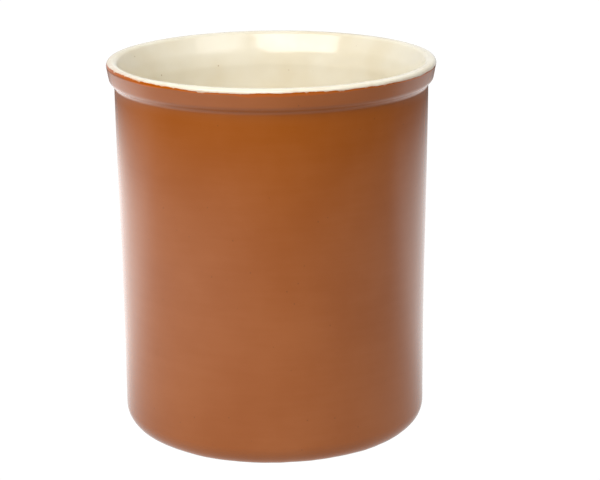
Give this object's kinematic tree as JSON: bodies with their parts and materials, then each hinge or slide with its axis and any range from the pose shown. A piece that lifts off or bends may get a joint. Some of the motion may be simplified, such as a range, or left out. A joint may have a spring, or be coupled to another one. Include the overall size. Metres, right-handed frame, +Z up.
{
  "type": "butter crock",
  "caption": "Straight-sided open stoneware crock with a flared collar, brown glaze outside and cream glaze inside.",
  "frame": {"origin": "middle of the foot ring, on the surface that the crock stands on", "axes": "+Z up along the pot's axis, out of the mouth; the pot is round, so X and Y are free"},
  "size_m": [0.1438, 0.1438, 0.165],
  "materials": {
    "fired_stoneware": "matte",
    "brown_slip_glaze": "satin",
    "cream_liner_glaze": "gloss"
  },
  "bodies": {
    "root": {"stoneware_body": "fired_stoneware", "brown_glaze": "brown_slip_glaze", "cream_glaze": "cream_liner_glaze"}
  },
  "joints": []
}
